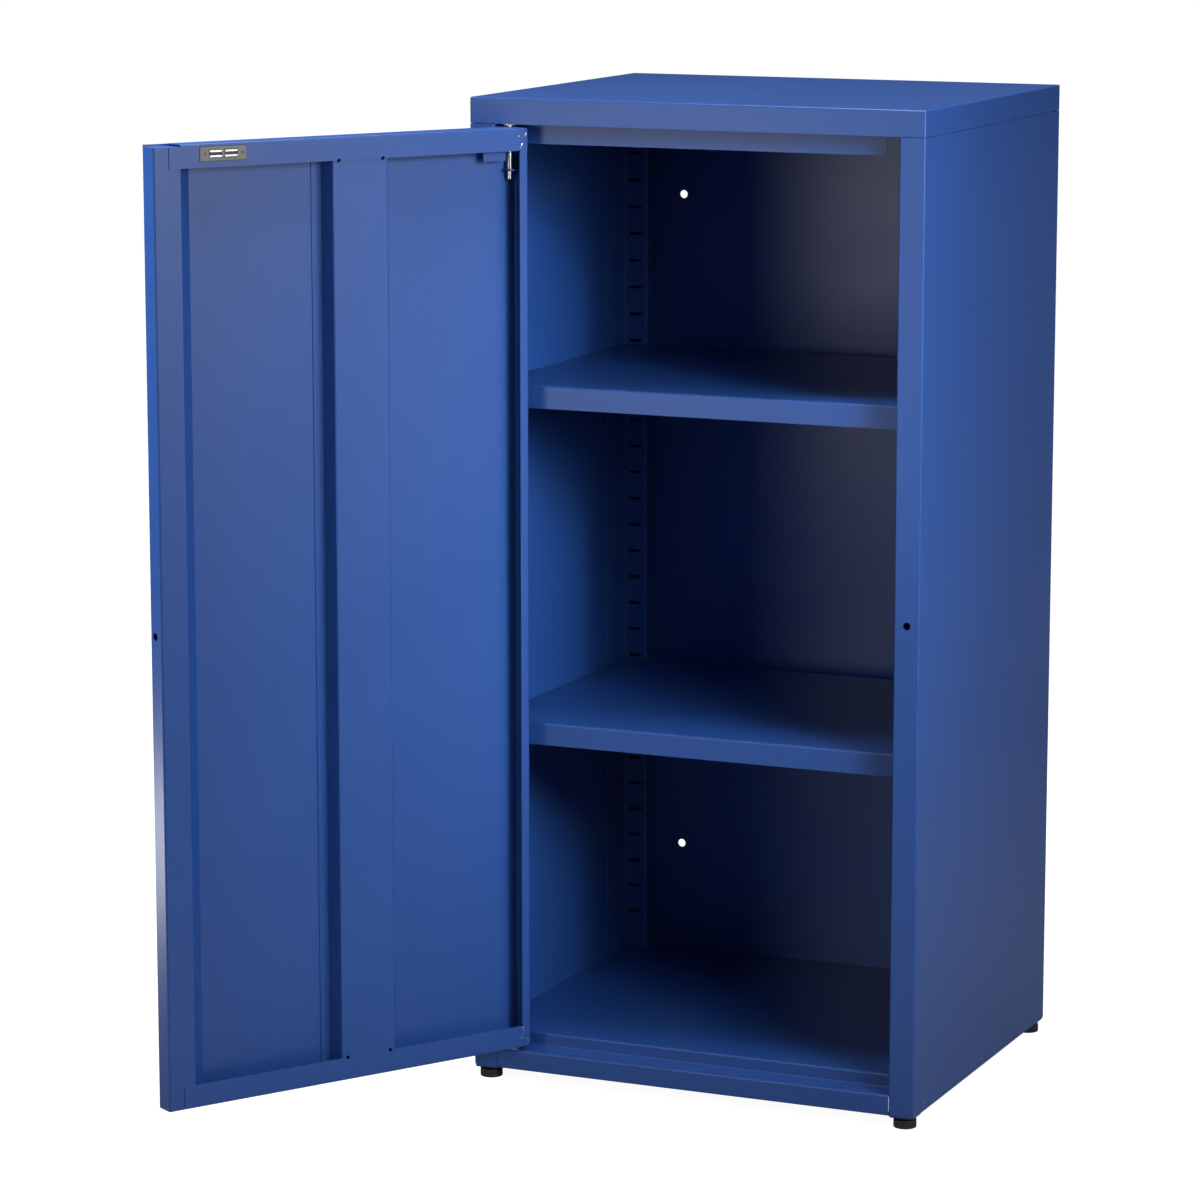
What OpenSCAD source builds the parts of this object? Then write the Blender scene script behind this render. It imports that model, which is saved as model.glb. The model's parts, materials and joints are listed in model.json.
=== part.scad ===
// Steel locker cabinet: a folded sheet body on levelling feet, two lift-out shelves and one
// inset door on vertical pins, drawn with the door swung open.
// The shapes are drawn with z = 0 at the bottom edge of the body, y = 0 at its front face and
// x = 0 at its middle; seat() then moves the origin to the floor under the middle of the whole.

/* [Body] */
// Width of the body
body_w = 500; // [420:1:620]
// Depth of the body
body_d = 428; // [350:1:560]
// Height of the body, without the feet
body_h = 1037; // [850:1:1250]
// Height of the body above the floor
foot_gap = 13; // [11:0.5:20]
// Thickness of the sheet steel
sheet_t = 1; // [0.8:0.1:1.2]
// Inside radius of the sheet bends
bend_r = 1; // [0.6:0.2:1.4]
// Height of the folded edge of the top cap
cap_h = 27; // [24:1:36]
// Width of the front stiles
stile_w = 27.5; // [26:0.5:34]
// Width of the back returns of the side panels
back_return_w = 15; // [12:1:20]
// Gap at the seam between the cap and the side panels
seam_gap = 0.6; // [0.3:0.1:1]
// Height of the plinth face
plinth_h = 22; // [18:1:30]
// Height of the floor of the lowest bay
floor_z = 36; // [34:1:48]
// Height of the head rail below the cap
rail_drop = 21.5; // [18:0.5:30]
// How far the head rail stops short of the hinge pin's axis
rail_end_gap = 8; // [7:1:20]
// Chamfer on the bottom corners of the side panels
corner_cut = 3.5; // [2:0.5:5]

/* [Slotted posts] */
// Width of the post faces
post_face_w = 27; // [26:1:32]
// Length of the post legs along the sides
post_leg = 49; // [44:1:60]
// Depth of the rear posts in front of the back panel
rear_post_depth = 25; // [24:1:32]
// Distance from one slot to the next
slot_pitch = 30; // [25:1:35]
// Length of a slot
slot_len = 14; // [10:1:16]
// Height of a slot
slot_h = 3; // [2.4:0.2:4]
// Height of the slot grid above the body's bottom edge
slot_base = 19.5; // [15:0.5:25]

/* [Shelves] */
// Height of the shelf edges
shelf_h = 24; // [20:1:30]
// Clearance around a shelf
shelf_gap = 0.8; // [0.5:0.1:2]
// Slot that carries the lower shelf
lower_slot = 11; // [6:1:14]
// Slots between the two shelves
shelf_slots = 12; // [8:1:13]
// Height of the shelf clips above the slots' middle
clip_rise = 2; // [1.5:0.5:3]
// Thickness of the shelf clips
clip_t = 2; // [1.5:0.1:2.2]

/* [Door] */
// Angle that the door is drawn open
door_open = 122; // [0:1:125]
// Thickness of the door
door_t = 24; // [22:0.5:28]
// Gap between the door and the stile on the hinge side
hinge_gap = 2.5; // [2:0.5:4]
// Gap between the door and the stile on the lock side
lock_gap = 4; // [3:0.5:6]
// Gap above the door
door_top_gap = 3; // [2.5:0.5:6]
// Gap below the door
door_foot_gap = 4; // [3:0.5:6]
// Gap between the closed door and the frame behind it
rebate_gap = 3; // [2.5:0.5:5]
// Distance of the hinge axis from the door's hinge edge
pin_u = 12; // [11:0.5:16]
// Distance of the hinge axis from the door's front face
pin_v = 7; // [6:0.5:9]
// Width of the lip on the hinge side
hinge_lip = 10.5; // [8:0.5:14]
// Height of the top and bottom lips
end_lip = 24; // [20:1:30]
// Width of the lip on the lock side
lock_lip = 30; // [24:1:40]
// Length of the top lip that lies over the lock side lip
lip_overlap = 13; // [8:1:18]
// Step down of the lock side edge below the door's top
edge_step = 2.5; // [1.5:0.5:4]
// Middle of the stiffener from the hinge edge
stiffener_u = 201.5; // [150:0.5:240]
// Width of the stiffener's top face
stiffener_w = 65; // [40:1:90]
// Width of the stiffener's glued flanges
stiffener_foot = 11; // [8:1:16]
// Slope of the stiffener's sides
stiffener_draft = 7.5; // [7.5:7.5:15]
// Radius of the round reliefs at the stiffener's ends
relief_r = 2; // [1.5:0.1:2.5]
// Distance of the reliefs from the stiffener's middle
relief_u = 26; // [16:1:28]
// Height of the lock holes above the body's bottom edge
lock_hole_z = 516; // [450:1:560]
// Radius of the lock holes
lock_hole_r = 4; // [3:0.5:5]
// Distance of the stile's lock hole from the body's side
lock_hole_inset = 13.5; // [12:0.5:15]
// Distance of the door edge's lock hole from the door's front face
lock_hole_v = 10; // [8:0.5:12]

/* [Magnetic catch] */
// Middle of the catch from the door's lock edge
catch_inset = 77.5; // [70:0.5:120]
// Middle of the catch below the door's top
catch_drop = 10.5; // [10:0.5:12]
// Length of the catch's case
case_w = 52; // [48:1:60]
// Height of the catch's case
case_h = 14; // [13:0.5:14.5]
// Depth of the catch's case
case_d = 13; // [11:1:16]
// How far the case stands out of the lip
case_proud = 0.8; // [0.4:0.2:1.2]
// Clearance of the case in the lip
case_gap = 0.4; // [0.2:0.1:0.6]
// Length of a pole strip
pole_w = 13.8; // [10:0.2:16]
// Thickness of a pole strip
pole_t = 1.8; // [1.2:0.1:2.2]
// Distance between the two rows of pole strips
pole_pitch = 5; // [4.4:0.1:5.6]
// Distance between the two columns of pole strips
pole_spread = 17.4; // [16.6:0.2:22]
// How far the pole strips stand out of the case
pole_proud = 0.8; // [0.4:0.2:1]

/* [Hinge pins] */
// Radius of the sprung top pin
top_pin_r = 2.5; // [2:0.1:3]
// How far the top pin reaches above the door
top_pin_reach = 8; // [7:0.5:10]
// Length of the top pin
top_pin_len = 62; // [56:1:75]
// Travel of the top pin
pin_travel = 12; // [10:0.5:14]
// Length of the spring
spring_len = 21; // [19:0.5:26]
// Clearance of the spring around the pin
spring_gap = 0.4; // [0.2:0.1:1]
// Thickness of the spring's wire
spring_wire = 1; // [0.8:0.1:1.1]
// Distance of the spring's top below the door's top
spring_drop = 23; // [20:0.5:26]
// Thickness of the retaining clip
clip_ring_t = 0.9; // [0.7:0.1:1.2]
// Reach of the pull arm past the pin
arm_reach = 36; // [30:1:44]
// Width of the pull arm's tab
tab_w = 27; // [20:1:30]
// Height of the pull arm's tab
tab_h = 14; // [12:1:16]
// Radius of the fixed bottom pin
foot_pin_r = 3; // [2.5:0.1:3.5]
// Length of the bottom pin below the door
foot_pin_len = 11; // [9:1:14]
// Running clearance of the pins in their bushes
pin_gap = 0.06; // [0.03:0.01:0.1]
// Clearance of the pins in the sheet steel
pin_hole_gap = 0.1; // [0.1:0.05:0.3]
// Wall of the bushes
bush_wall = 1.6; // [1.2:0.1:2]
// Width of the bushes' collars beyond their sleeves
bush_collar = 2.4; // [1.8:0.1:3]
// Gap between the bottom bush and the door
bush_gap = 0.2; // [0.1:0.1:0.4]

/* [Feet and fixings] */
// Radius of the foot discs
foot_r = 12; // [10:0.5:13]
// Height of the foot discs
foot_h = 8.7; // [7:0.1:9]
// Radius of the foot stems
stem_r = 4; // [3:0.5:5]
// Length of the foot stems above the discs
stem_len = 24; // [22:1:30]
// Thickness of the insert's collar under the body
insert_collar = 1.5; // [1:0.1:2]
// Height of the insert inside the body
insert_h = 20; // [16:1:24]
// Running clearance of the stem in its insert
stem_gap = 0.08; // [0.04:0.01:0.1]
// Width of the wall fixing pattern
wall_hole_w = 375; // [300:1:420]
// Height of the wall fixing pattern
wall_hole_h = 745; // [600:1:800]
// Middle of the wall fixing pattern above the body's bottom edge
wall_hole_z = 531; // [480:1:560]
// Radius of the wall fixing holes
wall_hole_r = 4.5; // [3:0.5:6]
// Distance of the cap screws from the back
cap_screw_y = 30; // [27:1:40]
// Distance of the cap screws below the top
cap_screw_z = 14; // [10:1:18]
// Radius of the cap screws
cap_screw_r = 2; // [1.5:0.25:2.5]
// Length of the cap screws
cap_screw_len = 8; // [6:1:12]
// Radius of the small side holes
side_hole_r = 1.8; // [1:0.1:2.5]
// Radius of the back panel's rivets
rivet_r = 1.6; // [1.2:0.1:2.2]
// Number of rivets on each side of the back panel
rivet_count = 5; // [3:1:8]

/* [Hidden] */
$fn = 48;
paint = "#2c4f94";
over = 5;                                  // how far a cutter passes the surface that it cuts
half_w = body_w / 2;
bend_out = bend_r + sheet_t;               // outside radius of a bend
bend_mid = bend_r + sheet_t / 2;           // radius of a bend's middle line
opening_w = body_w - 2 * stile_w;
inner_x = half_w - sheet_t;                // inside face of a side panel
flat_x = inner_x - bend_r;                 // where the bends inside the body's corners begin
inside_z = body_h - sheet_t - bend_r;      // the same below the cap
back_y = body_d - 2 * sheet_t;             // front face of the back panel
cap_z = body_h - cap_h;                    // bottom edge of the cap
rebate_y = door_t + rebate_gap + bend_mid; // front face of the front posts and the riser
front_post_y = rebate_y + sheet_t;
rear_post_y = back_y - rear_post_depth;
post_x = inner_x - post_face_w;            // free edge of a post's face
slot_x = inner_x - post_face_w / 2;        // middle of the slots in a post's face
slot_y = 30;                               // middle of the leg's slots from the post's face
slot_count = floor((cap_z - floor_z - 2 * slot_pitch) / slot_pitch);
first_slot = ceil((floor_z + slot_pitch / 2 - slot_base) / slot_pitch);
small_hole_y = 37;                         // small side hole from the front
small_hole_z = 8;                          // small side hole above the bottom edge
small_post_hole_z = 139;                   // fixing hole in the rear posts
small_post_hole_r = 2.5;

door_w = opening_w - hinge_gap - lock_gap;
door_x = -opening_w / 2 + hinge_gap;       // hinge edge of the closed door
door_bottom = plinth_h + door_foot_gap;
door_top = cap_z - door_top_gap;
pivot = [door_x + pin_u, pin_v];
lip_v = door_t - sheet_t;                  // back of the end lips, where the lock side lip lies
web_v = lip_v - 2 * sheet_t;
web_run = lip_v - 4 * sheet_t;             // run of the sloping web
rail_half = -pivot[0] - rail_end_gap;
rail_y = door_t + rebate_gap;
collar_drop = 1.4;                         // thickness of the top bush's collar

lower_shelf_z = slot_base + lower_slot * slot_pitch + clip_rise + shelf_h;
upper_shelf_z = lower_shelf_z + shelf_slots * slot_pitch;
shelf_front = front_post_y + shelf_gap;
shelf_back = rear_post_y - shelf_gap;
shelf_half = inner_x - sheet_t - shelf_gap;
shelf_return = 12;

insert_w = stile_w - 2 * sheet_t;          // the insert fills the stile
foot_x = inner_x - insert_w / 2;
foot_front_y = sheet_t + insert_w / 2;
foot_rear_y = back_y - insert_w / 2;

spring_top = door_top - spring_drop;
spring_base = spring_top - spring_len;
spring_r = top_pin_r + spring_gap + spring_wire;
guide_t = 1.5;                             // thickness of the pin guide
guide_h = 12;                              // height of its plate on the hinge side wall
arm_t = 1.5;                               // thickness of the pull arm
clip_hang = 10;                            // height of a shelf clip's back
clip_seat = 13;                            // length of a shelf clip's seat
clip_w = slot_len - 2;

// A point (u, v) on the closed door, as it lies with the door open
function door_point(u, v) = pivot + [
    (u - pin_u) * cos(door_open) + (v - pin_v) * sin(door_open),
    (v - pin_v) * cos(door_open) - (u - pin_u) * sin(door_open)];
door_left = door_point(door_w - bend_out, bend_out)[0] - bend_out;
door_front = door_point(door_w - bend_out, lip_v - bend_out)[1] - bend_out;
origin_x = (min(door_left, -half_w) + half_w) / 2;
origin_y = (min(door_front, 0) + body_d) / 2;

// ---- helpers ----

// Moves the cabinet so that its origin is on the floor under the middle of the whole
module seat() translate([-origin_x, -origin_y, foot_gap]) children();

// Turns a piece of the closed door, drawn in (u, v, z), to where the open door is
module on_door() seat() translate([pivot[0], pivot[1], 0])
    rotate([0, 0, -door_open]) translate([-pin_u, -pin_v, 0]) children();

module both_sides() {
    children();
    mirror([1, 0, 0]) children();
}

function turn_of(a, b) = a[0] * b[1] - a[1] * b[0];
function unit(v) = v / norm(v);

// Outline of a sheet folded at right angles, whose middle line runs through the given points
module folded(points) {
    last = len(points) - 1;
    dirs = [for (i = [0 : last - 1]) unit(points[i + 1] - points[i])];
    // Length that the bend at each point takes from the straights beside it
    trims = [for (i = [0 : last]) i == 0 || i == last ? 0
        : bend_mid * tan(acos(dirs[i - 1] * dirs[i]) / 2)];
    for (i = [0 : last - 1]) {
        length = norm(points[i + 1] - points[i]) - trims[i] - trims[i + 1];
        translate(points[i] + dirs[i] * trims[i])
            rotate(atan2(dirs[i][1], dirs[i][0]))
                translate([0, -sheet_t / 2]) square([length, sheet_t]);
    }
    for (i = [1 : last - 1]) {
        side = turn_of(dirs[i - 1], dirs[i]) > 0 ? 1 : -1;
        centre = points[i] - dirs[i - 1] * trims[i]
            + bend_mid * side * [-dirs[i - 1][1], dirs[i - 1][0]];
        from = -bend_mid * side * [-dirs[i - 1][1], dirs[i - 1][0]];
        to = -bend_mid * side * [-dirs[i][1], dirs[i][0]];
        reach = 3 * [from, from + to, to];
        translate(centre) intersection() {
            difference() {
                circle(bend_out);
                circle(bend_r);
            }
            polygon(concat([[0, 0]], reach));
        }
    }
}

// One side of a sheet folded at any angles: the side on the left for s = 1, on the right for -1
function bent_side(points, s) = let (
    last = len(points) - 1,
    dirs = [for (i = [0 : last - 1]) unit(points[i + 1] - points[i])],
    normals = [for (d = dirs) [-d[1], d[0]]],
    step = 7.5)
    concat([points[0] + normals[0] * s * sheet_t / 2],
        [for (i = [1 : last - 1]) let (
            angle = atan2(turn_of(dirs[i - 1], dirs[i]), dirs[i - 1] * dirs[i]),
            side = sign(angle),
            centre = points[i] - dirs[i - 1] * bend_mid * tan(abs(angle) / 2)
                + normals[i - 1] * side * bend_mid,
            start = -side * normals[i - 1] * (bend_mid - s * side * sheet_t / 2),
            count = round(abs(angle) / step))
            for (k = [0 : count]) let (a = angle * k / count)
                centre + [start[0] * cos(a) - start[1] * sin(a),
                    start[0] * sin(a) + start[1] * cos(a)]],
        [points[last] + normals[last - 1] * s * sheet_t / 2]);

// Outline of a sheet folded at any angles, its bends in fine steps
module bent(points) {
    left = bent_side(points, 1);
    right = bent_side(points, -1);
    polygon(concat(left, [for (i = [len(right) - 1 : -1 : 0]) right[i]]));
}

// Rectangle whose two far corners, or all four, are rounded
module rounded(size, r, all = false) {
    translate([0, all ? r : 0]) square([size[0], size[1] - (all ? 2 : 1) * r]);
    translate([r, 0]) square([size[0] - 2 * r, size[1]]);
    for (x = [r, size[0] - r], y = all ? [r, size[1] - r] : [size[1] - r])
        translate([x, y]) circle(r);
}

// Box open below, with its top edges rounded; it stands on z = 0 and runs from x = -w / 2
module lid_block(w, d, h, r) intersection() {
    translate([-w / 2, d, 0]) rotate([90, 0, 0]) linear_extrude(d) rounded([w, h], r);
    translate([-w / 2, 0, 0]) rotate([90, 0, 90]) linear_extrude(w) rounded([d, h], r);
    translate([-w / 2, 0, 0]) linear_extrude(h) rounded([w, d], r, all = true);
}

// Extrudes an outline drawn in (y, z) along x
module along_x(from, to) translate([from, 0, 0]) rotate([90, 0, 90])
    linear_extrude(to - from) children();

module hole_x(x, y, z, r, reach = over) translate([x, y, z]) rotate([0, 90, 0])
    cylinder(r = r, h = 2 * reach, center = true);

module hole_y(x, y, z, r, reach = over) translate([x, y, z]) rotate([90, 0, 0])
    cylinder(r = r, h = 2 * reach, center = true);

// ---- body ----

module top_cap() color(paint) seat() difference() {
    translate([0, 0, cap_z]) lid_block(body_w, body_d, cap_h, bend_out);
    translate([0, sheet_t, cap_z - over])
        lid_block(body_w - 2 * sheet_t, body_d - 2 * sheet_t, cap_h - sheet_t + over, bend_r);
    both_sides() hole_x(half_w, body_d - cap_screw_y, body_h - cap_screw_z, cap_screw_r);
}

// Plane cut across the bottom corner of a side panel
module bottom_corner_cut(y, dir) translate([-half_w, y, 0]) rotate([0, 0, 45 * dir])
    rotate([0, acos(1 / sqrt(3)), 0]) translate([0, 0, corner_cut / sqrt(3) - over])
        cube([4 * over, 4 * over, 2 * over], center = true);

module side_panel() difference() {
    linear_extrude(cap_z - seam_gap) folded([
        [-half_w + stile_w - sheet_t / 2, rebate_y],
        [-half_w + stile_w - sheet_t / 2, sheet_t / 2],
        [-half_w + sheet_t / 2, sheet_t / 2],
        [-half_w + sheet_t / 2, body_d - sheet_t / 2],
        [-half_w + back_return_w, body_d - sheet_t / 2]]);
    bottom_corner_cut(0, 1);
    bottom_corner_cut(body_d, -1);
    hole_x(-half_w, small_hole_y, small_hole_z, side_hole_r);
    rivets() cylinder(r = rivet_r, h = 6 * sheet_t, center = true);
}

module left_side_panel() color(paint) seat() side_panel();

module right_side_panel() color(paint) seat() difference() {
    mirror([1, 0, 0]) side_panel();
    hole_y(half_w - lock_hole_inset, 0, lock_hole_z, lock_hole_r);
}

module back_panel() color(paint) seat() difference() {
    translate([-flat_x, back_y, corner_cut]) cube([2 * flat_x, sheet_t, inside_z - corner_cut]);
    for (x = [-1, 1], z = [-1, 1])
        hole_y(x * wall_hole_w / 2, back_y, wall_hole_z + z * wall_hole_h / 2, wall_hole_r);
    rivets() cylinder(r = rivet_r, h = 2 * over, center = true);
}

module floor_pan() color(paint) seat() {
    flange_h = 26;
    difference() {
        along_x(-inner_x, inner_x) folded([
            [shelf_return, sheet_t / 2], [sheet_t / 2, sheet_t / 2],
            [sheet_t / 2, plinth_h - sheet_t / 2],
            [rebate_y + sheet_t / 2, plinth_h - sheet_t / 2],
            [rebate_y + sheet_t / 2, floor_z - sheet_t / 2],
            [back_y - sheet_t / 2, floor_z - sheet_t / 2],
            [back_y - sheet_t / 2, floor_z - flange_h]]);
        // Clearance for the stiles in front and for the foot inserts behind
        both_sides() translate([opening_w / 2, -over, -over])
            cube([half_w, over + rebate_y, floor_z + 2 * over]);
        both_sides() translate([inner_x - insert_w, back_y - insert_w, -over])
            cube([half_w, half_w, over + floor_z - 2 * bend_out]);
        translate([pivot[0], pivot[1], plinth_h]) cylinder(
            r = foot_pin_r + pin_gap + bush_wall, h = 2 * over, center = true);
    }
    // Flanges that are welded to the side panels
    both_sides() translate([inner_x - sheet_t, front_post_y + post_leg, floor_z - flange_h])
        cube([sheet_t, rear_post_y - front_post_y - 2 * post_leg, flange_h - sheet_t / 2]);
}

module head_rail() color(paint) seat() difference() {
    union() {
        along_x(-rail_half, rail_half) folded([
            [sheet_t + bend_out, cap_z + sheet_t / 2], [rail_y + sheet_t / 2, cap_z + sheet_t / 2],
            [rail_y + sheet_t / 2, cap_z - rail_drop]]);
        translate([-flat_x, sheet_t, cap_z])
            cube([2 * flat_x, rail_y - bend_out, sheet_t]);
    }
    translate([pivot[0], pivot[1], cap_z]) cylinder(
        r = top_pin_r + pin_gap + bush_wall, h = 2 * over, center = true);
}

// A corner post: a leg on the side panel and a slotted face, which runs on through the points
// of tail
module post(face_y, leg_end, tail, fixing_hole = false) {
    dir = leg_end > face_y ? 1 : -1;
    difference() {
        translate([0, 0, floor_z]) linear_extrude(inside_z - floor_z) folded(concat(
            [[-inner_x + sheet_t / 2, leg_end], [-inner_x + sheet_t / 2, face_y]], tail));
        for (i = [0 : slot_count - 1]) {
            z = slot_base + (first_slot + i) * slot_pitch;
            translate([-slot_x, face_y, z]) cube([slot_len, 2 * over, slot_h], center = true);
            translate([-inner_x, face_y + dir * slot_y, z])
                cube([2 * over, slot_len, slot_h], center = true);
        }
        if (fixing_hole) hole_y(-slot_x, face_y, small_post_hole_z, small_post_hole_r);
    }
}

module front_post() post(rebate_y + sheet_t / 2, front_post_y + post_leg,
    [[-opening_w / 2, rebate_y + sheet_t / 2]]);

module rear_post() difference() {
    post(rear_post_y + sheet_t / 2, rear_post_y - post_leg,
        [[-post_x, rear_post_y + sheet_t / 2], [-post_x, back_y]], fixing_hole = true);
    hole_x(-inner_x, body_d - cap_screw_y, body_h - cap_screw_z, cap_screw_r);
}

module left_front_post() color(paint) seat() front_post();
module right_front_post() color(paint) seat() mirror([1, 0, 0]) front_post();
module left_rear_post() color(paint) seat() rear_post();
module right_rear_post() color(paint) seat() mirror([1, 0, 0]) rear_post();

// ---- fixings of the body ----

module cap_screws() color(paint) seat() both_sides()
    translate([half_w, body_d - cap_screw_y, body_h - cap_screw_z]) rotate([0, -90, 0])
        difference() {
            cylinder(r = cap_screw_r, h = cap_screw_len);
            translate([0, 0, -over]) cylinder(r = 0.65 * cap_screw_r, h = over + 1);
        }

// Puts its children at every rivet of the back panel, with +Z pointing into the cabinet
module rivets() {
    rise = (cap_z - floor_z - 2 * slot_pitch) / (rivet_count - 1);
    for (x = [-1, 1], i = [0 : rivet_count - 1])
        translate([x * (half_w - back_return_w / 2 - sheet_t), back_y,
            floor_z + slot_pitch + i * rise]) rotate([90, 0, 0]) children();
}

module back_panel_rivets() color("silver") seat() rivets() {
    translate([0, 0, -2 * sheet_t]) cylinder(r = rivet_r, h = 2 * sheet_t);
    cylinder(r = 2 * rivet_r, h = rivet_r / 2);
}

// One clip: a tongue through the slot, a hook behind it and a seat under the shelf
module clip(face_y, dir, shelf_z) {
    seat_z = shelf_z - shelf_h;
    translate([-slot_x - clip_w / 2, face_y, seat_z]) scale([1, dir, 1]) {
        translate([0, 0, -clip_t]) cube([clip_w, clip_seat, clip_t]);
        translate([0, 0, -clip_hang]) cube([clip_w, clip_t, clip_hang]);
        translate([0, -sheet_t, -clip_rise - clip_t / 2]) cube([clip_w, sheet_t, clip_t]);
        translate([0, -sheet_t - clip_t, -clip_hang]) cube([clip_w, clip_t, clip_hang - 1]);
    }
}

module clips(shelf_z) both_sides() {
    clip(front_post_y, 1, shelf_z);
    clip(rear_post_y, -1, shelf_z);
}

module upper_shelf_clips() color("silver") seat() clips(upper_shelf_z);
module lower_shelf_clips() color("silver") seat() clips(lower_shelf_z);

module foot_inserts() color("#1b1b1d") seat() both_sides()
    for (y = [foot_front_y, foot_rear_y]) translate([foot_x, y, 0]) difference() {
        translate([-insert_w / 2, -insert_w / 2, -insert_collar])
            linear_extrude(insert_collar + insert_h)
                rounded([insert_w, insert_w], bend_r, all = true);
        cylinder(r = stem_r + stem_gap, h = 4 * insert_h, center = true);
    }

module top_hinge_bush() color("ivory") seat() translate([pivot[0], pivot[1], cap_z])
    difference() {
        union() {
            cylinder(r = top_pin_r + pin_gap + bush_wall, h = 2 * sheet_t);
            translate([0, 0, -collar_drop])
                cylinder(r = top_pin_r + pin_gap + bush_wall + bush_collar, h = collar_drop);
        }
        cylinder(r = top_pin_r + pin_gap, h = 4 * over, center = true);
    }

module bottom_hinge_bush() color("ivory") seat() translate([pivot[0], pivot[1], plinth_h])
    difference() {
        union() {
            translate([0, 0, -3 * sheet_t])
                cylinder(r = foot_pin_r + pin_gap + bush_wall, h = 3 * sheet_t);
            cylinder(r = foot_pin_r + pin_gap + bush_wall + bush_collar,
                h = door_foot_gap - bush_gap);
        }
        cylinder(r = foot_pin_r + pin_gap, h = 4 * over, center = true);
    }

// ---- shelves ----

module shelf(top_z) {
    depth = shelf_back - shelf_front;
    translate([0, shelf_front, top_z - shelf_h]) {
        difference() {
            lid_block(2 * shelf_half, depth, shelf_h, bend_out);
            translate([0, sheet_t, -over]) lid_block(2 * (shelf_half - sheet_t),
                depth - 2 * sheet_t, shelf_h - sheet_t + over, bend_r);
        }
        // Returns at the foot of the front and back edges, which sit on the clips
        for (y = [0, depth - shelf_return]) translate([-shelf_half + bend_out, y, 0])
            cube([2 * (shelf_half - bend_out), shelf_return, sheet_t]);
    }
}

module upper_shelf() color(paint) seat() shelf(upper_shelf_z);
module lower_shelf() color(paint) seat() shelf(lower_shelf_z);

// ---- door, drawn closed in (u, v, z): u from its hinge edge, v from its front face ----

// The four walls and the face of the door, before holes
module door_tray() intersection() {
    union() {
        translate([0, 0, door_bottom]) linear_extrude(door_top - door_bottom) folded([
            [hinge_lip, door_t - sheet_t / 2], [sheet_t / 2, door_t - sheet_t / 2],
            [sheet_t / 2, sheet_t / 2], [door_w - sheet_t / 2, sheet_t / 2],
            [door_w - sheet_t / 2, bend_out + sheet_t]]);
        translate([0, 0, door_bottom]) linear_extrude(door_top - door_bottom - edge_step)
            folded([[door_w - sheet_t / 2, bend_out], [door_w - sheet_t / 2, lip_v - sheet_t / 2],
                [door_w - lock_lip, lip_v - sheet_t / 2]]);
        // Top and bottom walls with their lips
        for (z = [door_bottom, door_top]) {
            dir = z == door_top ? -1 : 1;
            along_x(0, door_w - lock_lip) folded([
                [sheet_t / 2, z + dir * bend_out * 2], [sheet_t / 2, z + dir * sheet_t / 2],
                [lip_v + sheet_t / 2, z + dir * sheet_t / 2], [lip_v + sheet_t / 2, z + dir * end_lip]]);
            translate([door_w - lock_lip, 0, z + (dir > 0 ? 0 : -end_lip)])
                translate([0, lip_v, dir > 0 ? bend_out : 0])
                    cube([lip_overlap, sheet_t, end_lip - (dir > 0 ? bend_out : edge_step)]);
            translate([door_w - lock_lip, 0, dir > 0 ? z : z - edge_step - sheet_t])
                cube([lock_lip - bend_out, lip_v - sheet_t, sheet_t]);
        }
    }
    translate([0, 0, door_bottom]) linear_extrude(door_top - door_bottom)
        rounded([door_w, door_t], bend_out, all = true);
    along_x(0, door_w) translate([0, door_bottom])
        rounded([door_t, door_top - door_bottom], bend_out, all = true);
}

// Thin open joint between the hinge side lip and an end lip, with a round relief at its foot
module mitre_cut(z, dir) translate([0, lip_v, z]) rotate([90, 0, 0]) {
    slit = 0.4;
    angle = atan2(end_lip, hinge_lip);
    translate([0, 0, -over]) linear_extrude(2 * over) {
        rotate(dir * angle) translate([bend_out, -slit / 2])
            square([norm([hinge_lip, end_lip]) - bend_out, slit]);
        translate([hinge_lip, dir * end_lip]) circle(1);
    }
}

// Round reliefs where the end lips cross the stiffener
module reliefs() for (u = [-1, 1], z = [door_bottom + end_lip, door_top - end_lip])
    hole_y(stiffener_u + u * relief_u, door_t, z, relief_r, reach = 3 * sheet_t);

module door_skin() color(paint) on_door() difference() {
    door_tray();
    reliefs();
    mitre_cut(door_bottom, 1);
    mitre_cut(door_top, -1);
    translate([pin_u, pin_v, door_top])
        cylinder(r = top_pin_r + pin_hole_gap, h = 2 * over, center = true);
    translate([pin_u, pin_v, door_bottom]) cylinder(r = foot_pin_r, h = 2 * over, center = true);
    hole_x(door_w, lock_hole_v, lock_hole_z, lock_hole_r);
    translate([door_w - catch_inset, lip_v, door_top - catch_drop])
        cube([case_w + 2 * case_gap, 2 * over, case_h + 2 * case_gap], center = true);
}

module door_stiffener() color(paint) on_door() {
    top_v = lip_v - sheet_t / 2;
    foot_v = sheet_t * 1.5;
    spread = (top_v - foot_v) * tan(stiffener_draft);
    half_top = stiffener_w / 2 - sheet_t / 2;
    difference() {
        translate([0, 0, door_bottom + bend_out])
            linear_extrude(door_top - door_bottom - 2 * bend_out) bent([
                [stiffener_u - half_top - spread - stiffener_foot, foot_v],
                [stiffener_u - half_top - spread, foot_v], [stiffener_u - half_top, top_v],
                [stiffener_u + half_top, top_v], [stiffener_u + half_top + spread, foot_v],
                [stiffener_u + half_top + spread + stiffener_foot, foot_v]]);
        reliefs();
    }
}

module lock_side_stiffener() color(paint) on_door()
    translate([0, 0, door_bottom + bend_out])
        linear_extrude(door_top - door_bottom - 2 * bend_out - edge_step) bent([
            [door_w - 2 * bend_out, web_v + sheet_t / 2],
            [door_w - lock_lip, web_v + sheet_t / 2],
            [door_w - lock_lip - web_v + sheet_t, sheet_t * 1.5],
            [door_w - lock_lip - web_v - web_run / 2, sheet_t * 1.5]]);

// ---- magnetic catch ----

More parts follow.
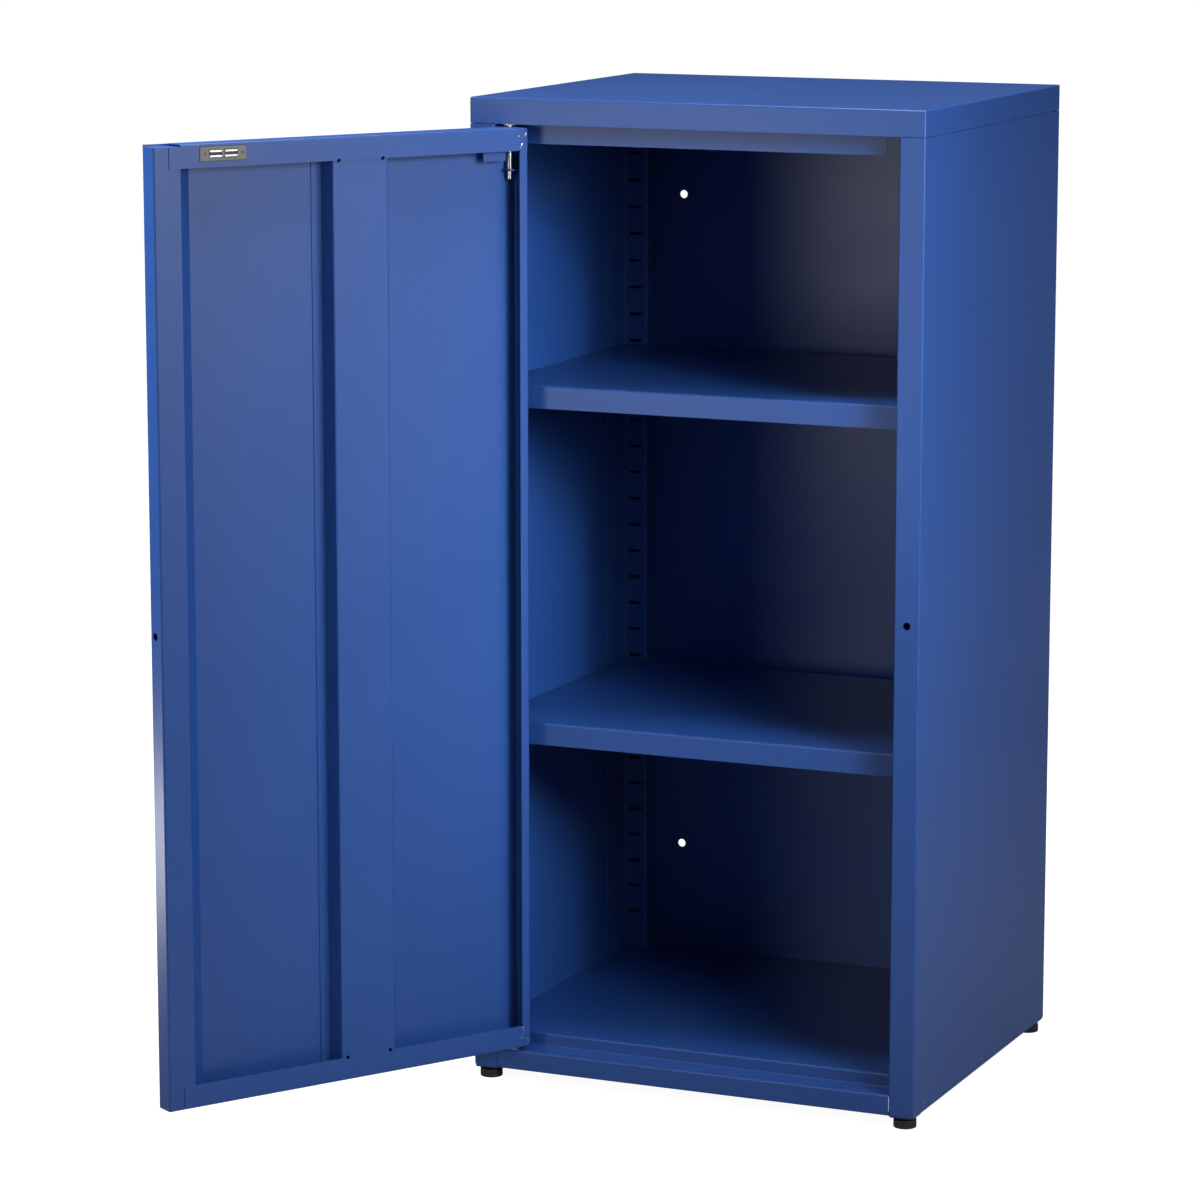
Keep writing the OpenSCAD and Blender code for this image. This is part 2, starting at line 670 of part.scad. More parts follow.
module at_catch() on_door()
    translate([door_w - catch_inset, door_t + case_proud, door_top - catch_drop]) children();

// Puts its children in the middle of the catch's two windows
module windows() for (x = [-1, 1]) translate([x * pole_spread / 2, 0, 0]) children();

module magnet_case() color("#2a2b2a") at_catch() difference() {
    translate([0, -case_d / 2, 0]) cube([case_w, case_d, case_h], center = true);
    windows() cube([pole_w + 1, 2 * case_d - 4 * sheet_t, pole_pitch + pole_t + 1.4],
        center = true);
    both_sides() hole_y(case_w / 2 - 5, 0, 0, 1.4, reach = 1);
}

module magnet_poles() color("silver") at_catch() windows() for (z = [-1, 1])
    translate([-pole_w / 2, -case_d + 2 * sheet_t, z * pole_pitch / 2 - pole_t / 2])
        cube([pole_w, case_d - 2 * sheet_t + pole_proud, pole_t]);

module catch_magnets() color("#3a3a3c") at_catch() windows()
    translate([-pole_w / 2, -case_d + 2 * sheet_t, -(pole_pitch - pole_t) / 2])
        cube([pole_w, case_d - 4 * sheet_t, pole_pitch - pole_t]);

// ---- hinge pins ----

module pin_guide() color(paint) on_door() difference() {
    union() {
        translate([sheet_t, bend_out, spring_base - guide_t])
            cube([pin_u + spring_r + 1, pin_v + spring_r + 2, guide_t]);
        translate([sheet_t, bend_out, spring_base - guide_h])
            cube([guide_t, pin_v + spring_r + 2, guide_h]);
    }
    translate([pin_u, pin_v, spring_base])
        cylinder(r = top_pin_r + pin_hole_gap, h = 2 * over, center = true);
}

// The coil as a plain tube of its true radii
module pin_spring() color("gainsboro") on_door() translate([pin_u, pin_v, spring_base])
    rotate_extrude() translate([spring_r - spring_wire, 0]) square([spring_wire, spring_len]);

module top_hinge_pin() color("silver") on_door()
    translate([pin_u, pin_v, door_top + top_pin_reach]) {
        tip = top_pin_r * 0.6;
        translate([0, 0, -top_pin_len]) cylinder(r = top_pin_r, h = top_pin_len - tip);
        rotate_extrude() intersection() {
            translate([0, -tip - 1]) square([top_pin_r, tip + 1]);
            union() {
                translate([0, -tip]) circle(tip);
                translate([0, -tip]) square([top_pin_r - tip, tip]);
                translate([top_pin_r - tip, -tip]) circle(tip);
            }
        }
    }

module pin_clip() color("silver") on_door() translate([pin_u, pin_v, spring_top])
    rotate_extrude() translate([top_pin_r, 0]) square([spring_r - top_pin_r + 0.6, clip_ring_t]);

// Flat arm held on the pin by the clip, with a tab bent down to pull it by
module pin_pull_arm() color(paint) on_door() {
    arm_w = 2 * spring_r + 2;
    arm_z = spring_top + clip_ring_t;
    tab_v = pin_v + arm_w / 2;
    difference() {
        union() {
            translate([pin_u - arm_w / 2, pin_v - arm_w / 2, arm_z])
                cube([arm_w / 2 + arm_reach, arm_w, arm_t]);
            translate([pin_u + arm_reach - tab_w, tab_v, arm_z + arm_t - tab_h])
                cube([tab_w, arm_t, tab_h]);
        }
        translate([pin_u, pin_v, arm_z]) cylinder(r = top_pin_r, h = 2 * over, center = true);
    }
}

module bottom_hinge_pin() color("silver") on_door()
    translate([pin_u, pin_v, door_bottom]) {
        translate([0, 0, -foot_pin_len]) cylinder(r = foot_pin_r, h = foot_pin_len + sheet_t);
        translate([0, 0, sheet_t]) cylinder(r = 1.5 * foot_pin_r, h = 1.5);
    }

// ---- levelling feet ----

module at_foot(x, y) seat() translate([x * foot_x, y, -foot_gap]) children();

module foot_disc() difference() {
    edge = 0.8;
    union() {
        cylinder(r1 = foot_r - edge, r2 = foot_r, h = edge);
        translate([0, 0, edge]) cylinder(r = foot_r, h = foot_h - 2 * edge);
        translate([0, 0, foot_h - edge]) cylinder(r1 = foot_r, r2 = foot_r - edge, h = edge);
    }
    translate([0, 0, foot_h / 2]) cylinder(r = stem_r, h = foot_h);
}

module stem() translate([0, 0, foot_h / 2]) cylinder(r = stem_r, h = foot_h / 2 + stem_len);

module front_left_foot() color("#161616") at_foot(-1, foot_front_y) foot_disc();
module front_right_foot() color("#161616") at_foot(1, foot_front_y) foot_disc();
module rear_left_foot() color("#161616") at_foot(-1, foot_rear_y) foot_disc();
module rear_right_foot() color("#161616") at_foot(1, foot_rear_y) foot_disc();
module front_left_stem() color("silver") at_foot(-1, foot_front_y) stem();
module front_right_stem() color("silver") at_foot(1, foot_front_y) stem();
module rear_left_stem() color("silver") at_foot(-1, foot_rear_y) stem();
module rear_right_stem() color("silver") at_foot(1, foot_rear_y) stem();

top_cap();
left_side_panel();
right_side_panel();
back_panel();
floor_pan();
head_rail();
left_front_post();
right_front_post();
left_rear_post();
right_rear_post();
upper_shelf_clips();
lower_shelf_clips();
cap_screws();
back_panel_rivets();
foot_inserts();
top_hinge_bush();
bottom_hinge_bush();
upper_shelf();
lower_shelf();
door_skin();
door_stiffener();
lock_side_stiffener();
magnet_case();
magnet_poles();
catch_magnets();
pin_guide();
pin_spring();
bottom_hinge_pin();
top_hinge_pin();
pin_pull_arm();
pin_clip();
front_left_foot();
front_right_foot();
rear_left_foot();
rear_right_foot();
front_left_stem();
front_right_stem();
rear_left_stem();
rear_right_stem();
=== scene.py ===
"""Looks of a steel locker cabinet: powder coat, bright steel fittings, moulded feet and a
studio stage."""

import json
import math

import bmesh
import bpy
from bpy.props import FloatProperty, FloatVectorProperty, IntProperty, PointerProperty
from mathutils import Euler, Matrix, Vector


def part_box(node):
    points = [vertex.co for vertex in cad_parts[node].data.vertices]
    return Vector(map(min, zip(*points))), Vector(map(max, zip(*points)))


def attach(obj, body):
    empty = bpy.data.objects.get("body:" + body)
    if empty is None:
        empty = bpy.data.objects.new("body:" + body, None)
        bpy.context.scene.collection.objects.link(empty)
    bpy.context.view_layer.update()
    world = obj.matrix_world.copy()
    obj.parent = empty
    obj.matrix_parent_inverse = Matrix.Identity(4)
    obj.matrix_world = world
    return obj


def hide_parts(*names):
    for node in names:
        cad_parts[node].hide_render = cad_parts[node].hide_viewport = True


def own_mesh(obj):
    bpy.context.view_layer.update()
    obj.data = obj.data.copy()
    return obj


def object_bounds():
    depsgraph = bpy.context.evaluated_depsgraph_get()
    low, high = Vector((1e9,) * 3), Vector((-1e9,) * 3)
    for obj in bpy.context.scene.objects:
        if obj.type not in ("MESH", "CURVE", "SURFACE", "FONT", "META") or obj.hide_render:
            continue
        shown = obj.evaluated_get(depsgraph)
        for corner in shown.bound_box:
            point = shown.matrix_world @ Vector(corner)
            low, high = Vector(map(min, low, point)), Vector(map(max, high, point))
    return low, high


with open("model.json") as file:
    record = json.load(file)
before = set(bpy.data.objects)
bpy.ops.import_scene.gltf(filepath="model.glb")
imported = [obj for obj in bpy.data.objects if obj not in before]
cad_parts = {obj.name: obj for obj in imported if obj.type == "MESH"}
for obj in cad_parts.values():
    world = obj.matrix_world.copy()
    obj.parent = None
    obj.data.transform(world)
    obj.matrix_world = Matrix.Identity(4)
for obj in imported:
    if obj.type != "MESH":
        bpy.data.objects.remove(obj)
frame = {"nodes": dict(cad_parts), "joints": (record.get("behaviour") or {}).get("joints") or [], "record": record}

bl_info = {
    "name": "Steel locker cabinet",
    "version": (1, 0, 0),
    "blender": (4, 5, 0),
    "location": "View3D > Sidebar > Locker",
    "description": "Finishes, fittings and studio stage of a sheet steel locker cabinet",
    "category": "Object",
}

CAD_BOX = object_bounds()
MIDDLE = (CAD_BOX[0] + CAD_BOX[1]) / 2
FLOOR_Z = CAD_BOX[0].z
JOINTS = {j["name"]: j for j in frame["joints"]}
SLOT_OF = {p["node"]: p["material_slot"] for p in frame["record"]["subparts"]}
MERGE_GAP = 1e-6  # corners closer than this become one
FINISH_IOR = 1.5
FLOOR_SIZE = 30.0
FLOOR_GAP = 0.0002  # keeps the feet's undersides out of the paper
CORNERS = ("front_left", "front_right", "rear_left", "rear_right")
HINGE_AXIS = Vector(JOINTS["door_hinge"]["pos_m"])
DOOR_ANGLE = -math.radians(JOINTS["door_hinge"]["range_deg"][1])


# ---- sizes and colours that a user would change ----


class PaintSettings(bpy.types.PropertyGroup):
    """Blue powder coat on the sheet steel"""

    colour: FloatVectorProperty(
        name="Colour", description="Colour of the powder coat", subtype="COLOR", size=3,
        min=0.0, max=1.0, default=(0.0155, 0.063, 0.255))
    lighter: FloatVectorProperty(
        name="Thin coat", description="Colour where the coat is thinner", subtype="COLOR", size=3,
        min=0.0, max=1.0, default=(0.0185, 0.070, 0.277))
    roughness: FloatProperty(
        name="Roughness", description="Mean roughness of the coat", min=0.0, max=1.0, default=0.32)
    peel_size: FloatProperty(
        name="Orange peel", description="Distance between the ripples of the coat", unit="LENGTH",
        default=0.0014)
    peel_depth: FloatProperty(
        name="Peel depth", description="Depth of the ripples of the coat", unit="LENGTH",
        default=0.000012)
    wave_depth: FloatProperty(
        name="Sheet waviness", description="Depth of the slow waves in the flat sheet",
        unit="LENGTH", default=0.00035)


class FittingSettings(bpy.types.PropertyGroup):
    """Springs, feet, threads and small bare metal marks"""

    wire: FloatProperty(
        name="Wire", description="Thickness of the spring's wire", unit="LENGTH", default=0.001)
    turns: IntProperty(name="Turns", description="Open turns of the spring", min=3, default=7)
    thread_pitch: FloatProperty(
        name="Thread pitch", description="Pitch of the foot's thread", unit="LENGTH",
        default=0.00125)
    thread_depth: FloatProperty(
        name="Thread depth", description="Height of the thread over its core", unit="LENGTH",
        default=0.0006)
    foot_ribs: IntProperty(
        name="Foot ribs", description="Finger ribs round a foot", min=12, default=30)
    rivet_radius: FloatProperty(
        name="Rivet head", description="Radius of a rivet's head", unit="LENGTH", default=0.0032)
    rivet_crown: FloatProperty(
        name="Rivet crown", description="Height of a rivet's head against its radius",
        default=0.42)
    bead: FloatProperty(
        name="Weld bead", description="Width of the bare weld at the door's corners",
        unit="LENGTH", default=0.001)
    pin_from_edge: FloatProperty(
        name="Pin from edge", description="Hinge axis from the door's hinge edge", unit="LENGTH",
        default=0.012)
    pin_from_face: FloatProperty(
        name="Pin from face", description="Hinge axis from the door's outer face", unit="LENGTH",
        default=0.007)


class StageSettings(bpy.types.PropertyGroup):
    """Camera, lights and floor"""

    azimuth: FloatProperty(
        name="Azimuth", description="Camera's turn round the cabinet", subtype="ANGLE",
        default=math.radians(23.49))
    elevation: FloatProperty(
        name="Elevation", description="Camera's height angle", subtype="ANGLE",
        default=math.radians(10.28))
    distance: FloatProperty(
        name="Distance", description="Camera's distance from the middle", unit="LENGTH",
        default=4.73)
    lens: FloatProperty(
        name="Lens", description="Focal length", unit="CAMERA", default=135.4)
    aim: FloatVectorProperty(
        name="Aim", description="Point that the camera looks at, from the middle", size=3,
        unit="LENGTH", default=(-0.019, -0.008, 0.0017))
    key_power: FloatProperty(
        name="Key light", description="Power of the large softbox", unit="POWER", default=6.7)
    ambient: FloatProperty(
        name="Ambient", description="Strength of the room's own light", min=0.0, default=0.075)
    floor_white: FloatProperty(
        name="Floor", description="Brightness of the pale floor", min=0.0, default=0.95)
    floor_tone: FloatProperty(
        name="Floor tone", description="Tone of the floor under the lights", min=0.0, max=1.0,
        default=0.25)
    floor_bounce: FloatProperty(
        name="Floor bounce", description="Light that the floor adds to the cabinet", min=0.0,
        default=0.03)
    fade_start: FloatProperty(
        name="Fade start", description="Distance at which the floor starts to turn white",
        unit="LENGTH", default=0.4)
    fade_end: FloatProperty(
        name="Fade end", description="Distance from which the floor is white", unit="LENGTH",
        default=1.4)


# ---- hand tools ----


def leave_edit():
    """Object mode with nothing selected."""
    if bpy.context.object and bpy.context.object.mode != "OBJECT":
        bpy.ops.object.mode_set(mode="OBJECT")
    bpy.ops.object.select_all(action="DESELECT")


def activate(obj):
    leave_edit()
    obj.select_set(True)
    bpy.context.view_layer.objects.active = obj


def edit(obj, domain="FACE"):
    """Edit mode on one object with nothing selected."""
    activate(obj)
    bpy.ops.object.mode_set(mode="EDIT")
    bpy.ops.mesh.select_mode(type=domain)
    bpy.ops.mesh.select_all(action="DESELECT")


def pick_faces(obj, test):
    mesh = bmesh.from_edit_mesh(obj.data)
    for face in mesh.faces:
        face.select_set(bool(test(face)))
    bmesh.update_edit_mesh(obj.data)


def pick_edges(obj, test):
    mesh = bmesh.from_edit_mesh(obj.data)
    for edge in mesh.edges:
        edge.select_set(bool(test(edge)))
    bmesh.update_edit_mesh(obj.data)


def mid(edge):
    return (edge.verts[0].co + edge.verts[1].co) / 2


def apply_all(obj):
    activate(obj)
    for modifier in list(obj.modifiers):
        bpy.ops.object.modifier_apply(modifier=modifier.name)


def settle(obj):
    """Puts the object's place, turn and size into its mesh."""
    activate(obj)
    bpy.ops.object.transform_apply(location=True, rotation=True, scale=True)


def close_up(obj):
    """Merges doubles and turns the faces outwards."""
    edit(obj, "VERT")
    bpy.ops.mesh.select_all(action="SELECT")
    bpy.ops.mesh.remove_doubles(threshold=MERGE_GAP)
    bpy.ops.mesh.normals_make_consistent(inside=False)
    leave_edit()


def smooth(obj, degrees=35):
    activate(obj)
    bpy.ops.object.shade_smooth_by_angle(angle=math.radians(degrees))


def joined(pieces, name):
    """Joins finished pieces into one object of that name."""
    leave_edit()
    for piece in pieces:
        piece.select_set(True)
    bpy.context.view_layer.objects.active = pieces[0]
    if len(pieces) > 1:
        bpy.ops.object.join()
    made = bpy.context.view_layer.objects.active
    made.name = name
    made.data.name = name
    return made


def copy_at(obj, matrix):
    """A copy of a finished piece with its own mesh, moved by the matrix."""
    twin = obj.copy()
    twin.data = obj.data.copy()
    bpy.context.scene.collection.objects.link(twin)
    twin.data.transform(matrix)
    return twin


def hand_over(obj, name, body, material, replaces=()):
    """Names a finished piece, gives it its finish and lets it ride on its body."""
    obj.name = name
    obj.data.name = name
    obj.data.materials.clear()
    obj.data.materials.append(material)
    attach(obj, body)
    if replaces:
        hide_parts(*replaces)
    return obj


def finish_nodes(slot, material):
    """Gives every CAD node of a material slot its finish."""
    for node, own_slot in SLOT_OF.items():
        if own_slot == slot:
            data = frame["nodes"][node].data
            data.materials.clear()
            data.materials.append(material)


def door_point(u, v, z):
    """A point on the open door: u from its hinge edge, v from its outer face, z above the floor."""
    own = bpy.context.scene.locker_fittings
    flat = Matrix.Rotation(DOOR_ANGLE, 3, "Z") @ Vector(
        (u - own.pin_from_edge, v - own.pin_from_face, 0.0))
    return Vector((HINGE_AXIS.x + flat.x, HINGE_AXIS.y + flat.y, z))


# ---- shader parts ----


def add_node(tree, kind, x, y, **values):
    made = tree.nodes.new(kind)
    made.location = (x, y)
    for key, value in values.items():
        setattr(made, key, value)
    return made


def grain_group():
    """Fine grain in metres: a mottled mask, a roughness offset and a height."""
    found = bpy.data.node_groups.get("Moulded or sprayed grain")
    if found:
        return found
    tree = bpy.data.node_groups.new("Moulded or sprayed grain", "ShaderNodeTree")
    put = tree.interface.new_socket
    put(name="Vector", in_out="INPUT", socket_type="NodeSocketVector")
    for name, value in (("Grain per metre", 700.0), ("Mottle per metre", 9.0),
            ("Roughness", 0.35), ("Roughness spread", 0.05)):
        put(name=name, in_out="INPUT", socket_type="NodeSocketFloat").default_value = value
    for name in ("Mottle", "Roughness", "Grain", "Waves"):
        put(name=name, in_out="OUTPUT", socket_type="NodeSocketFloat")
    start = add_node(tree, "NodeGroupInput", -700, 0)
    end = add_node(tree, "NodeGroupOutput", 500, 0)
    grain = add_node(tree, "ShaderNodeTexNoise", -400, 200, noise_dimensions="3D")
    grain.inputs["Detail"].default_value = 2.0
    mottle = add_node(tree, "ShaderNodeTexNoise", -400, -60, noise_dimensions="3D")
    mottle.inputs["Detail"].default_value = 5.0
    waves = add_node(tree, "ShaderNodeTexNoise", -400, -320, noise_dimensions="3D")
    waves.inputs["Scale"].default_value = 3.2
    waves.inputs["Detail"].default_value = 1.0
    spread = add_node(tree, "ShaderNodeMath", -120, -60, operation="SUBTRACT")
    spread.inputs[1].default_value = 0.5
    rough = add_node(tree, "ShaderNodeMath", 120, -60, operation="MULTIPLY_ADD")
    link = tree.links.new
    for texture in (grain, mottle, waves):
        link(start.outputs["Vector"], texture.inputs["Vector"])
    link(start.outputs["Grain per metre"], grain.inputs["Scale"])
    link(start.outputs["Mottle per metre"], mottle.inputs["Scale"])
    link(mottle.outputs["Fac"], spread.inputs[0])
    link(spread.outputs[0], rough.inputs[0])
    link(start.outputs["Roughness spread"], rough.inputs[1])
    link(start.outputs["Roughness"], rough.inputs[2])
    link(mottle.outputs["Fac"], end.inputs["Mottle"])
    link(rough.outputs[0], end.inputs["Roughness"])
    link(grain.outputs["Fac"], end.inputs["Grain"])
    link(waves.outputs["Fac"], end.inputs["Waves"])
    return tree


def grained(name, dark, light, roughness, spread, grain_size, grain_depth, wave_depth=0.0,
        metallic=0.0, stretch=(1.0, 1.0, 1.0)):
    """A finish with mottled colour, uneven gloss and a fine relief."""
    material = bpy.data.materials.get(name)
    if material:
        return material
    material = bpy.data.materials.new(name)
    material.use_nodes = True
    tree = material.node_tree
    tree.nodes.clear()
    place = add_node(tree, "ShaderNodeTexCoord", -1100, 0)
    turn = add_node(tree, "ShaderNodeMapping", -920, 0)
    turn.inputs["Scale"].default_value = stretch
    grain = add_node(tree, "ShaderNodeGroup", -700, 0)
    grain.node_tree = grain_group()
    grain.inputs["Grain per metre"].default_value = 1.0 / grain_size
    grain.inputs["Roughness"].default_value = roughness
    grain.inputs["Roughness spread"].default_value = spread
    tone = add_node(tree, "ShaderNodeMix", -420, 220, data_type="RGBA")
    tone.inputs["A"].default_value = (*dark, 1.0)
    tone.inputs["B"].default_value = (*light, 1.0)
    fine = add_node(tree, "ShaderNodeBump", -420, -160)
    fine.inputs["Strength"].default_value = 1.0
    fine.inputs["Distance"].default_value = grain_depth
    shader = add_node(tree, "ShaderNodeBsdfPrincipled", 0, 0)
    shader.inputs["Metallic"].default_value = metallic
    shader.inputs["IOR"].default_value = FINISH_IOR
    end = add_node(tree, "ShaderNodeOutputMaterial", 300, 0)
    link = tree.links.new
    link(place.outputs["Object"], turn.inputs["Vector"])
    link(turn.outputs["Vector"], grain.inputs["Vector"])
    link(grain.outputs["Mottle"], tone.inputs["Factor"])
    link(tone.outputs["Result"], shader.inputs["Base Color"])
    link(grain.outputs["Roughness"], shader.inputs["Roughness"])
    link(grain.outputs["Grain"], fine.inputs["Height"])
    if wave_depth:
        slow = add_node(tree, "ShaderNodeBump", -420, -360)
        slow.inputs["Strength"].default_value = 1.0
        slow.inputs["Distance"].default_value = wave_depth
        link(grain.outputs["Waves"], slow.inputs["Height"])
        link(slow.outputs["Normal"], fine.inputs["Normal"])
    link(fine.outputs["Normal"], shader.inputs["Normal"])
    link(shader.outputs["BSDF"], end.inputs["Surface"])
    return material


def powder_coat():
    own = bpy.context.scene.locker_paint
    return grained("Gentian blue powder coat", own.colour, own.lighter, own.roughness, 0.06,
        own.peel_size, own.peel_depth, wave_depth=own.wave_depth)


def bright_steel():
    return grained("Drawn bright steel", (0.60, 0.60, 0.58), (0.74, 0.74, 0.73), 0.26, 0.12,
        0.0006, 0.000006, metallic=1.0, stretch=(1.0, 1.0, 0.25))


def zinc_plate():
    return grained("Bright zinc plating", (0.52, 0.54, 0.57), (0.70, 0.71, 0.72), 0.30, 0.14,
        0.0009, 0.000008, metallic=1.0)


def rivet_aluminium():
    return grained("Satin rivet aluminium", (0.66, 0.67, 0.68), (0.78, 0.78, 0.78), 0.34, 0.10,
        0.0007, 0.000006, metallic=1.0)


def black_plastic():
    return grained("Black moulded plastic", (0.016, 0.016, 0.016), (0.026, 0.026, 0.025), 0.46,
        0.08, 0.0005, 0.00001)


def grey_plastic():
    return grained("Grey moulded plastic", (0.135, 0.13, 0.125), (0.17, 0.165, 0.155), 0.5, 0.08,
        0.0005, 0.00001)


def ivory_nylon():
    return grained("Ivory nylon", (0.62, 0.57, 0.44), (0.72, 0.68, 0.56), 0.42, 0.06, 0.0007,
        0.000008)


def ferrite():
    return grained("Ground ferrite", (0.03, 0.03, 0.032), (0.06, 0.06, 0.062), 0.6, 0.1, 0.0004,
        0.00001)


# ---- pieces ----


class LOCKER_OT_paint(bpy.types.Operator):
    """Powder coats the body, the shelves and the door"""

    bl_idname = "locker.paint"
    bl_label = "Paint the sheet steel"

    def execute(self, context):
        finish_nodes("paint", powder_coat())
        return {"FINISHED"}


class LOCKER_OT_hardware(bpy.types.Operator):
    """Finishes the small metal, plastic and magnet parts of the frame"""

    bl_idname = "locker.hardware"
    bl_label = "Finish the hardware"

    def execute(self, context):
        for slot, make in (("bright_steel", bright_steel), ("zinc_plated_steel", zinc_plate),
                ("rivet_aluminium", rivet_aluminium), ("black_plastic", black_plastic),
                ("grey_plastic", grey_plastic), ("ivory_nylon", ivory_nylon),
                ("ferrite", ferrite)):
            finish_nodes(slot, make())
        return {"FINISHED"}


class LOCKER_OT_pin_spring(bpy.types.Operator):
    """Winds the coil spring on the top hinge pin"""

    bl_idname = "locker.pin_spring"
    bl_label = "Wind the hinge spring"

    def execute(self, context):
        own = context.scene.locker_fittings
        low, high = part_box("pin_spring")
        axis = (low + high) / 2
        mean = (high.x - low.x) / 2 - own.wire / 2
        height = high.z - low.z
        leave_edit()
        bpy.ops.mesh.primitive_circle_add(vertices=12, radius=own.wire / 2,
            rotation=(math.pi / 2, 0, 0))
        coil = bpy.context.object
        settle(coil)
        edit(coil, "VERT")
        bpy.ops.mesh.select_all(action="SELECT")
        bpy.ops.transform.translate(value=(mean, 0, own.wire / 2))
        leave_edit()
        screw = coil.modifiers.new("Coil", "SCREW")
        screw.steps = screw.render_steps = 32
        screw.iterations = own.turns
        screw.screw_offset = (height - own.wire) / own.turns
        apply_all(coil)
        edit(coil, "EDGE")
        bpy.ops.mesh.select_non_manifold()
        bpy.ops.mesh.edge_face_add()
        leave_edit()
        ends = []
        for z in (own.wire / 2, height - own.wire / 2):
            bpy.ops.mesh.primitive_torus_add(major_radius=mean, minor_radius=own.wire / 2,
                major_segments=40, minor_segments=12, location=(0, 0, z))
            end = bpy.context.object
            settle(end)
            ends.append(end)
        spring = joined([coil, *ends], "hinge_spring_coil")
        close_up(spring)
        spring.data.transform(Matrix.Translation((axis.x, axis.y, low.z)))
        smooth(spring, 60)
        hand_over(spring, "hinge_spring_coil", "door", bright_steel(),
            replaces=["pin_spring"])
        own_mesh(spring)
        return {"FINISHED"}


class LOCKER_OT_feet(bpy.types.Operator):
    """Moulds the ribbed feet and cuts the threads of their stems"""

    bl_idname = "locker.feet"
    bl_label = "Make the levelling feet"

    def disc(self, own, corner):
        """A ribbed disc with a raised collar above and a hollow below."""
        low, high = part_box(corner + "_foot")
        centre = (low + high) / 2
        radius = (high.x - low.x) / 2
        height = high.z - low.z
        leave_edit()
        bpy.ops.mesh.primitive_cylinder_add(vertices=2 * own.foot_ribs, radius=radius,
            depth=height, location=centre)
        foot = bpy.context.object
        settle(foot)
        edit(foot)
        pick_faces(foot, lambda f: abs(f.normal.z) < 0.5)
        bpy.ops.mesh.inset(thickness=0.16 * height, use_individual=False)
        mesh = bmesh.from_edit_mesh(foot.data)
        rim = [f for f in mesh.faces if f.select]
        rim.sort(key=lambda f: math.atan2(
            f.calc_center_median().y - centre.y, f.calc_center_median().x - centre.x))
        for index, face in enumerate(rim):
            face.select_set(index % 2 == 0)
        bmesh.update_edit_mesh(foot.data)
        bpy.ops.mesh.inset(thickness=0.04 * height, depth=-0.025 * radius, use_individual=True)
        bpy.ops.mesh.select_all(action="DESELECT")
        bpy.ops.mesh.select_mode(type="EDGE")
        pick_edges(foot, lambda e: abs(abs(mid(e).z - centre.z) - height / 2) < 1e-5
            and abs(math.hypot(mid(e).x - centre.x, mid(e).y - centre.y) - radius) < 3e-4)
        bpy.ops.mesh.bevel(offset=0.1 * height, segments=3, profile=0.5)
        bpy.ops.mesh.select_mode(type="FACE")
        pick_faces(foot, lambda f: f.normal.z > 0.99 and len(f.verts) > 20)
        bpy.ops.mesh.inset(thickness=0.35 * radius)
        bpy.ops.mesh.extrude_region_move(
            TRANSFORM_OT_translate={"value": (0, 0, 0.06 * height)})
        pick_faces(foot, lambda f: f.normal.z < -0.99 and len(f.verts) > 20)
        bpy.ops.mesh.inset(thickness=0.18 * radius)
        bpy.ops.mesh.extrude_region_move(
            TRANSFORM_OT_translate={"value": (0, 0, 0.12 * height)})
        close_up(foot)
        smooth(foot, 40)
        return foot

    def stem(self, own, corner):
        """A rod with a chamfered end and a thread wound round it."""
        low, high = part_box(corner + "_stem")
        centre = (low + high) / 2
        radius = (high.x - low.x) / 2
        height = high.z - low.z
        core = radius - own.thread_depth
        leave_edit()
        bpy.ops.mesh.primitive_cylinder_add(vertices=48, radius=core, depth=height,
            location=(0, 0, height / 2))
        rod = bpy.context.object
        settle(rod)
        edit(rod, "EDGE")
        pick_edges(rod, lambda e: abs(mid(e).z - height) < 1e-6
            and abs(e.verts[0].co.z - e.verts[1].co.z) < 1e-6)
        bpy.ops.mesh.bevel(offset=0.3 * core, segments=2)
        leave_edit()
        bpy.ops.mesh.primitive_circle_add(vertices=3, radius=own.thread_depth,
            rotation=(math.pi / 2, 0, 0))
        ridge = bpy.context.object
        settle(ridge)
        edit(ridge, "VERT")
        bpy.ops.mesh.select_all(action="SELECT")
        bpy.ops.transform.rotate(value=math.pi / 2, orient_axis="Y", center_override=(0, 0, 0))
        bpy.ops.transform.translate(value=(core, 0, own.thread_pitch))
        leave_edit()
        for vertex in ridge.data.vertices:
            vertex.co.x = min(vertex.co.x, radius)
        screw = ridge.modifiers.new("Thread", "SCREW")
        screw.steps = screw.render_steps = 24
        screw.iterations = int(height / own.thread_pitch) - 3
        screw.screw_offset = own.thread_pitch
        apply_all(ridge)
        edit(ridge, "EDGE")
        bpy.ops.mesh.select_non_manifold()
        bpy.ops.mesh.edge_face_add()
        leave_edit()
        stem = joined([rod, ridge], corner + "_threaded_stem")
        close_up(stem)
        stem.data.transform(Matrix.Translation((centre.x, centre.y, low.z)))
        smooth(stem, 30)
        return stem

    def execute(self, context):
        own = context.scene.locker_fittings
        first = CORNERS[0]
        parts = (
            (self.disc(own, first), "_foot", "_foot_disc", "black_plastic", black_plastic()),
            (self.stem(own, first), "_stem", "_threaded_stem", "zinc_plated_steel", zinc_plate()),
        )
        for made, node, name, slot, finish in parts:
            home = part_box(first + node)[0]
            pieces = [made]
            for corner in CORNERS[1:]:
                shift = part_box(corner + node)[0] - home
                pieces.append(copy_at(made, Matrix.Translation(shift)))
            for corner, piece in zip(CORNERS, pieces):
                hand_over(piece, corner + name, corner + "_leveller", finish,
                    replaces=[corner + node])
        return {"FINISHED"}


